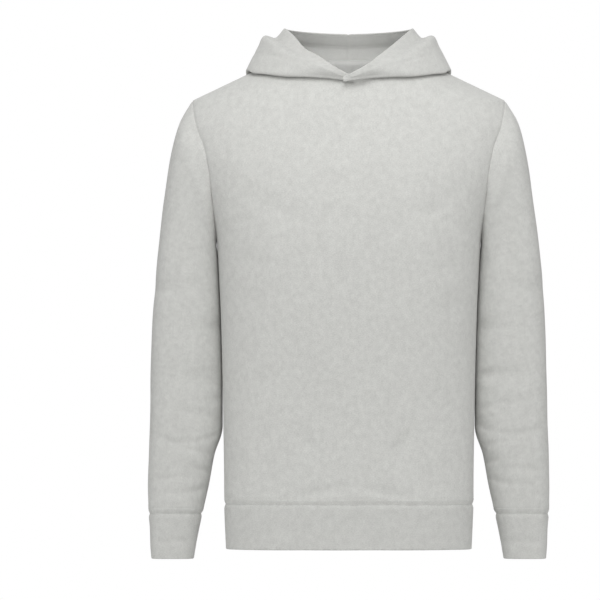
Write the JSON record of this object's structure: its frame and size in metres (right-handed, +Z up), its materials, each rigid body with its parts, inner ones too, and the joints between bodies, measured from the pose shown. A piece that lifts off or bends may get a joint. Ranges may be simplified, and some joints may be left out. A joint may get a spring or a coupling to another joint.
{
  "type": "pullover hoodie",
  "caption": "Plain pullover hoodie with long set-in sleeves, self-fabric cuffs and hem band, and a lapped hood lying down, filled out as worn.",
  "frame": {"origin": "the middle of the neck opening, level with the two high shoulder points, where the wearer holds it up", "axes": "+Z up along the garment's length, the front faces -Y, and the wearer's left is +X"},
  "size_m": [0.57, 0.3081, 0.7517],
  "materials": {
    "fleece": "light heather grey brushed fleece, matt",
    "band_fleece": "light heather grey fleece of two layers, matt",
    "hood_fleece": "light heather grey brushed fleece, matt"
  },
  "bodies": {
    "root": {"front": "fleece", "back": "fleece", "sleeve_left": "fleece", "sleeve_right": "fleece", "cuff_left": "band_fleece", "cuff_right": "band_fleece", "hem_band": "band_fleece", "hood_left": "hood_fleece", "hood_right": "hood_fleece"}
  },
  "joints": []
}
